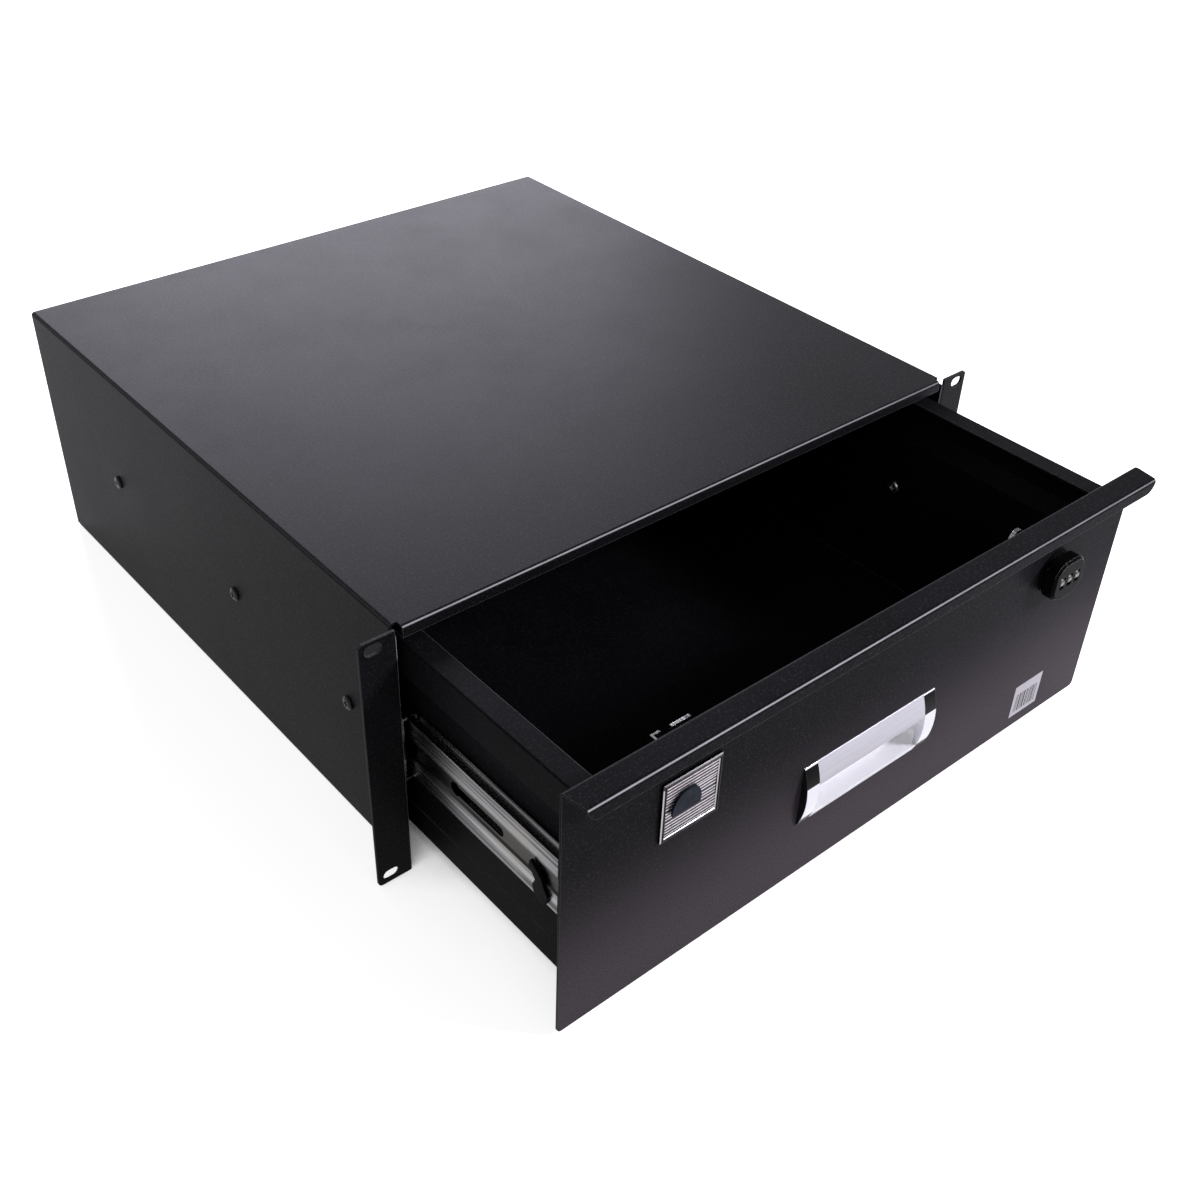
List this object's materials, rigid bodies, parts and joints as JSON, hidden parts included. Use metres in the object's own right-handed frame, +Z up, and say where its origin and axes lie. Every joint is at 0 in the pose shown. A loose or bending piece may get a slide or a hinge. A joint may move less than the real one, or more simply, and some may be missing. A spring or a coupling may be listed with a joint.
{
  "type": "sliding rack drawer",
  "caption": "Black steel rack drawer partly open on ball bearing slides, with a pull handle, a key lock, a combination lock and rack ears.",
  "frame": {"origin": "midway between the four rack slots, on the rear face of the rack ears", "axes": "+X to the right as seen from the front, +Y towards the back of the case, +Z up"},
  "size_m": [0.4826, 0.609, 0.1768],
  "materials": {
    "black_powder_coat": "black powder coat, fine satin texture",
    "black_screw": "black oxide",
    "zinc_steel": "bright zinc plated",
    "ball_steel": "polished bearing balls in a plated cage",
    "black_plastic": "moulded",
    "satin_plastic": "satin",
    "gloss_plastic": "gloss",
    "bright_scoop": "bright plated",
    "lock_metal": "dark plated die casting",
    "brass_plug": "nickel plated",
    "die_cast": "black coated zinc die casting",
    "dial_metal": "black dials",
    "label_paper": "matt"
  },
  "bodies": {
    "case": {"case_shell": "black_powder_coat", "case_back": "black_powder_coat", "slide_left_cabinet": "zinc_steel", "slide_right_cabinet": "zinc_steel", "case_screws_left": "black_screw", "case_screws_right": "black_screw"},
    "middle_left": {"slide_left_middle": "zinc_steel", "slide_left_bumper": "black_plastic"},
    "middle_right": {"slide_right_middle": "zinc_steel", "slide_right_bumper": "black_plastic"},
    "outer_balls_left": {"slide_left_outer_balls": "ball_steel"},
    "outer_balls_right": {"slide_right_outer_balls": "ball_steel"},
    "inner_balls_left": {"slide_left_inner_balls": "ball_steel"},
    "inner_balls_right": {"slide_right_inner_balls": "ball_steel"},
    "drawer": {"drawer_tray": "black_powder_coat", "tray_front": "black_powder_coat", "tray_back": "black_powder_coat", "front_panel": "black_powder_coat", "key_bracket": "zinc_steel", "slide_left_drawer": "zinc_steel", "slide_right_drawer": "zinc_steel", "rail_screws_left": "zinc_steel", "rail_screws_right": "zinc_steel", "panel_screws": "zinc_steel", "handle_hood": "satin_plastic", "handle_scoop": "bright_scoop", "handle_cap_left": "gloss_plastic", "handle_cap_right": "gloss_plastic", "key_bezel": "lock_metal", "key_plate": "lock_metal", "key_housing": "die_cast", "key_housing_screws": "zinc_steel", "combo_base": "die_cast", "combo_nut": "zinc_steel", "front_label": "label_paper"},
    "key_plug": {"key_plug": "brass_plug"},
    "key_bolt": {"key_bolt": "zinc_steel"},
    "key_cover": {"key_cover": "lock_metal"},
    "combo": {"combo_knob": "die_cast", "combo_cam": "zinc_steel", "combo_cam_screw": "zinc_steel"},
    "dial_1": {"combo_dial_1": "dial_metal"},
    "dial_2": {"combo_dial_2": "dial_metal"},
    "dial_3": {"combo_dial_3": "dial_metal"}
  },
  "joints": [
    {"name": "slide_middle_left", "type": "slide", "parent": "case", "child": "middle_left", "axis": [0, -1, 0], "range_m": [-0.128, 0.087]},
    {"name": "slide_middle_right", "type": "slide", "parent": "case", "child": "middle_right", "axis": [0, -1, 0], "range_m": [-0.128, 0.087]},
    {"name": "drawer_slide", "type": "slide", "parent": "middle_left", "child": "drawer", "axis": [0, -1, 0], "range_m": [-0.0132, 0.2018]},
    {"name": "balls_outer_left", "type": "slide", "parent": "case", "child": "outer_balls_left", "axis": [0, -1, 0], "range_m": [-0.064, 0.0435]},
    {"name": "balls_outer_right", "type": "slide", "parent": "case", "child": "outer_balls_right", "axis": [0, -1, 0], "range_m": [-0.064, 0.0435]},
    {"name": "balls_inner_left", "type": "slide", "parent": "middle_left", "child": "inner_balls_left", "axis": [0, -1, 0], "range_m": [-0.0066, 0.1009]},
    {"name": "balls_inner_right", "type": "slide", "parent": "middle_right", "child": "inner_balls_right", "axis": [0, -1, 0], "range_m": [-0.0066, 0.1009]},
    {"name": "key_turn", "type": "hinge", "parent": "drawer", "child": "key_plug", "pos_m": [-0.143, -0.1447, 0.0354], "axis": [0, -1, 0], "range_deg": [0, 90]},
    {"name": "key_bolt_lift", "type": "slide", "parent": "drawer", "child": "key_bolt", "axis": [0, 0, 1], "range_m": [0, 0.006]},
    {"name": "key_cover_swing", "type": "hinge", "parent": "drawer", "child": "key_cover", "pos_m": [-0.143, -0.1465, 0.0431], "axis": [0, -1, 0], "range_deg": [-10, 100]},
    {"name": "combo_turn", "type": "hinge", "parent": "drawer", "child": "combo", "pos_m": [0.1575, -0.1445, 0.0409], "axis": [0, 1, 0], "range_deg": [-45, 45]},
    {"name": "dial_1_turn", "type": "hinge", "parent": "combo", "child": "dial_1", "pos_m": [0.1502, -0.1533, 0.0409], "axis": [1, 0, 0], "continuous": true},
    {"name": "dial_2_turn", "type": "hinge", "parent": "combo", "child": "dial_2", "pos_m": [0.1575, -0.1533, 0.0409], "axis": [1, 0, 0], "continuous": true},
    {"name": "dial_3_turn", "type": "hinge", "parent": "combo", "child": "dial_3", "pos_m": [0.1648, -0.1533, 0.0409], "axis": [1, 0, 0], "continuous": true}
  ],
  "couplings": [
    {"joint": "slide_middle_right", "follows": "slide_middle_left", "ratio": 1},
    {"joint": "balls_outer_left", "follows": "slide_middle_left", "ratio": 0.5},
    {"joint": "balls_outer_right", "follows": "slide_middle_left", "ratio": 0.5},
    {"joint": "balls_inner_left", "follows": "drawer_slide", "ratio": 0.5},
    {"joint": "balls_inner_right", "follows": "drawer_slide", "ratio": 0.5},
    {"joint": "key_bolt_lift", "follows": "key_turn", "m_per_rad": 0.0038197}
  ]
}
